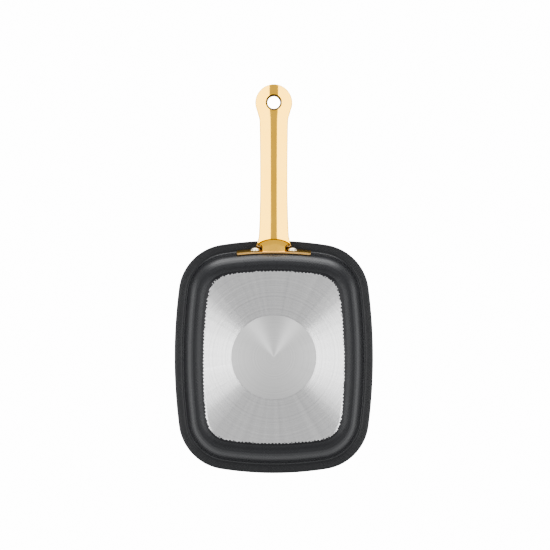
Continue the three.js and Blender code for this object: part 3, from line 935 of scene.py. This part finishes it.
dress_strips(pan, [faced, coat, lining], (coat_start, lining_start))
print("pressing finishes", [m.name for m in pan.data.materials])

# %% [markdown]
# The steel disc
# The disc is turned too, with a finer and duller cut, so it is more even than the face round it. Two fans
# towards the handle are painted a paler grey, which is a painted highlight. A dot product with one
# direction, raised to a high power, draws a fan, and the absolute value of x draws it on both sides.

# %% Turned steel
# Such grooves too are a few tenths of a millimetre apart, and are drawn coarser to show.
fine_groove_size, disc_detail, disc_streaks = 1.6, 4.0, 9.0
# The fans are a painted highlight: they brighten the disc's colour in two fixed directions.
highlight_fan_turn, highlight_fan_sharpness = math.radians(-60), 30.0
highlight_fan_way = (math.cos(highlight_fan_turn), math.sin(highlight_fan_turn), 0.0)
turned_disc, tree, shader = new_finish("turned_steel")
place = add(tree, "ShaderNodeTexCoord").outputs["Object"]
radius, away = polar(tree, place)
parts = add(tree, "ShaderNodeSeparateXYZ", {"Vector": away})
aside = add(tree, "ShaderNodeMath", {0: parts.outputs["X"]}, operation="ABSOLUTE")
folded = add(tree, "ShaderNodeCombineXYZ", {"X": aside.outputs["Value"], "Y": parts.outputs["Y"]})
towards = {0: folded.outputs["Vector"], 1: highlight_fan_way}
facing = add(tree, "ShaderNodeVectorMath", towards, operation="DOT_PRODUCT")
in_front = add(tree, "ShaderNodeMath", {0: facing.outputs["Value"], 1: 0.0}, operation="MAXIMUM")
painted_highlight_fan = add(tree, "ShaderNodeMath", {0: in_front.outputs["Value"], 1: highlight_fan_sharpness}, operation="POWER")
rings = {"W": radius, "Scale": per_mm(fine_groove_size), "Detail": disc_detail}
groove = add(tree, "ShaderNodeTexNoise", rings, noise_dimensions="1D")
streak = add(tree, "ShaderNodeTexNoise", {"Vector": away, "Scale": disc_streaks, "Detail": disc_detail})
metal = {"Factor": groove.outputs["Fac"], "A": linear("#a9a9a9"), "B": linear("#bababa")}
tone = add(tree, "ShaderNodeMix", metal, data_type="RGBA")
# The two fans take a paler grey: a painted highlight.
highlight_mix = {"Factor": painted_highlight_fan.outputs["Value"], "A": tone.outputs["Result"], "B": linear("#c8c8c8")}
tone_with_painted_highlight = add(tree, "ShaderNodeMix", highlight_mix, data_type="RGBA")
shine = add(tree, "ShaderNodeMapRange", {"Value": streak.outputs["Fac"], "To Min": 0.38, "To Max": 0.5})
look = {"Base Color": tone_with_painted_highlight.outputs["Result"], "Roughness": shine.outputs["Result"], "Metallic": 1.0}
connect(tree, shader, look)
disc.data.materials.append(turned_disc)
print("disc finish", turned_disc.name)

# %% [markdown]
# The gold finish
# The handle is polished and given a thin gold-coloured plating. It mirrors the studio with hardly any blur,
# and faint haze from handling varies its gloss over a few centimetres. The bracket is plated as it comes
# out of the mould, so it is softer, and its foot is trimmed with a file, which leaves a matt edge that
# shows as one pale line. The cut edges of the shells are matt in the same way, and their inside has no
# plating. The eyelet's dark brown is painted shade, which gives the hanging hole its dark ring.

# %% Gold plating
def plating(name, haze_size, glossy, dull, tones=("#f6c767", "#f8cd70")):
    """Metal whose roughness drifts between two values, and its colour between two tones."""
    material, tree, shader = new_finish(name)
    place = add(tree, "ShaderNodeTexCoord").outputs["Object"]
    haze = add(tree, "ShaderNodeTexNoise", {"Vector": place, "Scale": per_mm(haze_size), "Detail": 3.0})
    shine = add(tree, "ShaderNodeMapRange", {"Value": haze.outputs["Fac"], "To Min": glossy, "To Max": dull})
    drift = {"Factor": haze.outputs["Fac"], "A": linear(tones[0]), "B": linear(tones[1])}
    tone = add(tree, "ShaderNodeMix", drift, data_type="RGBA")
    look = {"Base Color": tone.outputs["Result"], "Roughness": shine.outputs["Result"], "Metallic": 1.0}
    connect(tree, shader, look)
    return material


polished = plating("gold_plated_polished_metal", 25, 0.05, 0.09)
as_cast = plating("gold_plated_casting", 6, 0.2, 0.26)
trimmed = plating("gold_plated_trimmed_edge", 1.5, 0.3, 0.42, ("#c9a672", "#d2b07c"))
raw_inside = plating("unplated_inside", 4, 0.4, 0.5, ("#b5ada0", "#c4bcae"))
# A dark brown eyelet: painted shade round the hanging hole.
eyelet_shade_finish = plating("eyelet_painted_shade", 2, 0.3, 0.38, ("#5f4c31", "#6f5a3b"))
print("platings", [m.name for m in (polished, as_cast, trimmed, raw_inside, eyelet_shade_finish)])

# %% Dress the handle and the bracket
trim_height, level_enough = 0.6, 0.5
for piece in (under_shell, over_shell):
    piece.data.materials[outside] = polished
    piece.data.materials[inside] = raw_inside
    piece.data.materials[cut_edge] = trimmed
eyelet.data.materials.append(eyelet_shade_finish)
bracket.data.materials.append(as_cast)
bracket.data.materials.append(trimmed)
trim_line = (flange_foot + trim_height) * MM
for face in bracket.data.polygons:
    face.material_index = int(face.center.z < trim_line and abs(face.normal.z) > level_enough)
print("trimmed faces", sum(face.material_index for face in bracket.data.polygons))

# %% [markdown]
# The bright rivets
# Rivets are headed from bright steel or aluminium wire. The die leaves them shiny with a faint unevenness,
# which a low bump gives.

# %% Bright rivets
dent_size, dent_strength, dent_depth = 2.5, 0.2, 0.1
bright, tree, shader = new_finish("bright_rivet_metal")
place = add(tree, "ShaderNodeTexCoord").outputs["Object"]
dents = add(tree, "ShaderNodeTexNoise", {"Vector": place, "Scale": per_mm(dent_size), "Detail": 2.0})
relief = {"Height": dents.outputs["Fac"], "Strength": dent_strength, "Distance": dent_depth * MM}
bump = add(tree, "ShaderNodeBump", relief)
look = {
    "Base Color": linear("#cfc5b3"),
    "Metallic": 1.0,
    "Roughness": 0.26,
    "Normal": bump.outputs["Normal"],
}
connect(tree, shader, look)
for piece in rivets:
    piece.data.materials.append(bright)
print("rivet finish", bright.name)

# %% [markdown]
# Ride and replace
# Nothing on a frying pan moves, so every piece rides on the one body of the frame and stands for its CAD
# node.

# %% Tie the pieces to the frame
stands_for = (
    (pan, "pan_body", "coated_aluminium"),
    (disc, "base_disc", "turned_disc"),
    (bracket, "handle_bracket", "gold_handle"),
    (under_shell, "handle_bottom_shell", "gold_handle"),
    (over_shell, "handle_top_shell", "gold_handle"),
    (eyelet, "hanging_eyelet", "gold_handle"),
    (rivets[0], "rivet_left", "bright_rivet"),
    (rivets[1], "rivet_right", "bright_rivet"),
)
for piece, node, slot in stands_for:
    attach(piece, "root")
    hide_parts(node)
print("pieces", len(stands_for))

# %% [markdown]
# The floor
# The picture is taken from straight below, so the pan seems to float in front of white. The floor is a
# plain pale sheet that shows only from above: its underside is clear, and it stops no light.

# %% Floor
floor_size, floor_drop = 60, 1 * MM
fresh_start()
bpy.ops.mesh.primitive_plane_add(size=floor_size, location=(0, 0, -floor_drop))
floor = bpy.context.object
floor.name = "pale_floor"
floor.visible_shadow = False
floor.visible_diffuse = False
floor.visible_glossy = False
paper, tree, shader = new_finish("pale_paper")
connect(tree, shader, {"Base Color": linear("#e9e8e6"), "Roughness": 0.8})
clear = add(tree, "ShaderNodeBsdfTransparent")
behind = add(tree, "ShaderNodeNewGeometry").outputs["Backfacing"]
sides = {0: behind, 1: shader.outputs["BSDF"], 2: clear.outputs["BSDF"]}
one_sided = add(tree, "ShaderNodeMixShader", sides)
connect(tree, tree.nodes["Material Output"], {"Surface": one_sided.outputs["Shader"]})
floor.data.materials.append(paper)
print("floor", floor_size, "m wide")

# %% [markdown]
# The white world
# Only the camera sees the world as plain white. To everything else it is a dim studio with white panels:
# a strong one behind the handle and a weaker one along each side, with a gap between them, so the light
# line on the bend of the pan fades at the corners beside the handle. The panels follow the angle round the
# pan, counted from the handle. They fade in round the horizon, a little lower at the two ends, and out again
# halfway up, and what lies higher is darker.

# %% Angle and height of a direction
world = bpy.data.worlds.new("white_studio")
bpy.context.scene.world = world
world.use_nodes = True
tree = world.node_tree
direction = add(tree, "ShaderNodeTexCoord").outputs["Generated"]
parts = add(tree, "ShaderNodeSeparateXYZ", {"Vector": direction})
sideways, lengthways, height = (parts.outputs[axis] for axis in "XYZ")
aside = add(tree, "ShaderNodeMath", {0: sideways}, operation="ABSOLUTE")
handle_way = add(tree, "ShaderNodeMath", {0: lengthways, 1: -1.0}, operation="MULTIPLY")
legs = {0: aside.outputs["Value"], 1: handle_way.outputs["Value"]}
from_handle = add(tree, "ShaderNodeMath", legs, operation="ARCTAN2").outputs["Value"]
print("world", world.name)

# %% Panels of the studio
end_lift = 0.17
panel_foot = {"From Min": -0.45, "From Max": 0.1}
panel_head = {"From Min": 0.68, "From Max": 0.2}
fill_range = {"From Min": 0.35, "From Max": 0.7, "To Min": 0.6, "To Max": 0.3}
camera_white = 3.0


def panel(start, end, first, last):
    """Brightness that goes from the first to the last value between two angles from the handle."""
    edges = {"From Min": math.radians(start), "From Max": math.radians(end), "To Min": first, "To Max": last}
    made = add(tree, "ShaderNodeMapRange", {"Value": from_handle, **edges}, interpolation_type="SMOOTHSTEP")
    return made.outputs["Result"]


endways = add(tree, "ShaderNodeMath", {0: lengthways, 1: 2.0}, operation="POWER")
raised = {0: endways.outputs["Value"], 1: end_lift, 2: height}
lifted = add(tree, "ShaderNodeMath", raised, operation="MULTIPLY_ADD")
low_edge = {"Value": lifted.outputs["Value"], **panel_foot}
above_foot = add(tree, "ShaderNodeMapRange", low_edge, interpolation_type="SMOOTHSTEP")
high_edge = {"Value": height, **panel_head}
below_head = add(tree, "ShaderNodeMapRange", high_edge, interpolation_type="SMOOTHSTEP")
band = {0: above_foot.outputs["Result"], 1: below_head.outputs["Result"]}
backdrop = add(tree, "ShaderNodeMath", band, operation="MULTIPLY")
beside = {0: panel(55, 80, 0.0, 1.3), 1: panel(100, 180, 1.0, 0.6)}
side_panel = add(tree, "ShaderNodeMath", beside, operation="MULTIPLY")
all_panels = {0: panel(44, 20, 0.0, 2.8), 1: side_panel.outputs["Value"]}
glow = add(tree, "ShaderNodeMath", all_panels, operation="ADD")
fill = add(tree, "ShaderNodeMapRange", {"Value": height, **fill_range})
studio = {0: glow.outputs["Value"], 1: backdrop.outputs["Value"], 2: fill.outputs["Result"]}
ambient = add(tree, "ShaderNodeMath", studio, operation="MULTIPLY_ADD")
to_camera = add(tree, "ShaderNodeLightPath").outputs["Is Camera Ray"]
seen = {"Factor": to_camera, "A": ambient.outputs["Value"], "B": camera_white}
strength = add(tree, "ShaderNodeMix", seen, data_type="FLOAT")
white_light = {"Strength": strength.outputs["Result"], "Color": (1.0, 1.0, 1.0, 1.0)}
connect(tree, tree.nodes["Background"], white_light)
print("world nodes", len(tree.nodes))

# %% [markdown]
# The lamps
# Two long soft boxes of faintly warm light lie left and right below the handle, and the gap between them is
# what the handle shows as a dark stripe. The pan has two of its own, square and turned on a corner, so the
# grooves of its base light up in two wedges. A lamp linked to a collection lights only the pieces in it.
# The bracket's own box lies where its polished neck does not mirror it, and only the matt foot takes its
# light. One more soft box, small and high above the pan, lights it from over the rim, and its reflection
# stays off the bend. A soft box of a given brightness needs power in proportion to its area.

# %% Hang a soft box
def lit_pieces(name, pieces):
    """A collection of pieces for a lamp to light."""
    group = bpy.data.collections.new(name)
    for piece in pieces:
        group.objects.link(piece)
    return group


def soft_box(name, centre, size, brightness, turn=(math.pi, 0, 0), group=None, colour="#ffffff"):
    """A rectangular area lamp that shines straight up unless it is turned."""
    lamp = bpy.data.lights.new(name, "AREA")
    lamp.shape = "RECTANGLE"
    lamp.size, lamp.size_y = size
    lamp.energy = brightness * math.pi * size[0] * size[1]
    lamp.color = linear(colour)[:3]
    holder = bpy.data.objects.new(name, lamp)
    bpy.context.collection.objects.link(holder)
    holder.location = centre
    holder.rotation_euler = turn
    holder.visible_camera = False
    if group:
        holder.light_linking.receiver_collection = group
    print(name, round(lamp.energy, 2), "W")


# %% Soft boxes
below, above = 2.0, 2.4
handle_light, pan_light, bracket_light, above_light = 1.68, 1.55, 0.6, 6.0
inner_edge, outer_edge = below * math.tan(math.radians(10)), below * math.tan(math.radians(55))
far_end, near_end = -2.3, 0.4
handle_box = (outer_edge - inner_edge, near_end - far_end)
diamond_corner, diamond_side = 0.12, 1.6
diamond_reach = diamond_corner + diamond_side / math.sqrt(2)
bracket_place, bracket_box = (0, 1.2, -below), (2.4, 1.6)
above_place, above_box = (0, -0.2, above), (1.5, 1.5)
on_a_corner, downwards = (math.pi, 0, math.pi / 4), (0, 0, 0)
handle_group = lit_pieces("handle_pieces", (under_shell, over_shell, eyelet, *rivets))
bracket_group = lit_pieces("bracket_pieces", (bracket,))
pan_group = lit_pieces("pan_pieces", (pan, disc))
for side, name in ((-1, "left"), (1, "right")):
    middle = (side * (inner_edge + outer_edge) / 2, (far_end + near_end) / 2, -below)
    soft_box(f"handle_box_{name}", middle, handle_box, handle_light, group=handle_group, colour="#fffff0")
    middle = (side * diamond_reach, 0, -below)
    soft_box(f"pan_box_{name}", middle, (diamond_side, diamond_side), pan_light, on_a_corner, pan_group)
soft_box("bracket_box", bracket_place, bracket_box, bracket_light, group=bracket_group)
soft_box("box_above", above_place, above_box, above_light, downwards)

# %% [markdown]
# The camera
# A long lens from far below keeps the rim and the base at nearly the same scale, as in the picture. The
# picture is 550 pixels wide and its scale was found from the pan's size.

# %% Camera
picture = 550
scale = 1.2092 * MM
distance = 8.0
rim_height = 0.042
pan_column, pan_row = 273.8, 356.87
lens = bpy.data.cameras.new("camera")
lens.sensor_width = 36
lens.lens = lens.sensor_width * (distance + rim_height) / (picture * scale)
camera = bpy.data.objects.new("camera", lens)
bpy.context.collection.objects.link(camera)
camera.location = ((picture / 2 - pan_column) * scale, (picture / 2 - pan_row) * scale, -distance)
camera.rotation_euler = (math.pi, 0, 0)
bpy.context.scene.camera = camera
bpy.context.scene.view_settings.view_transform = "AgX"
bpy.context.scene.view_settings.look = "AgX - Very High Contrast"
print("lens", round(lens.lens), "mm")
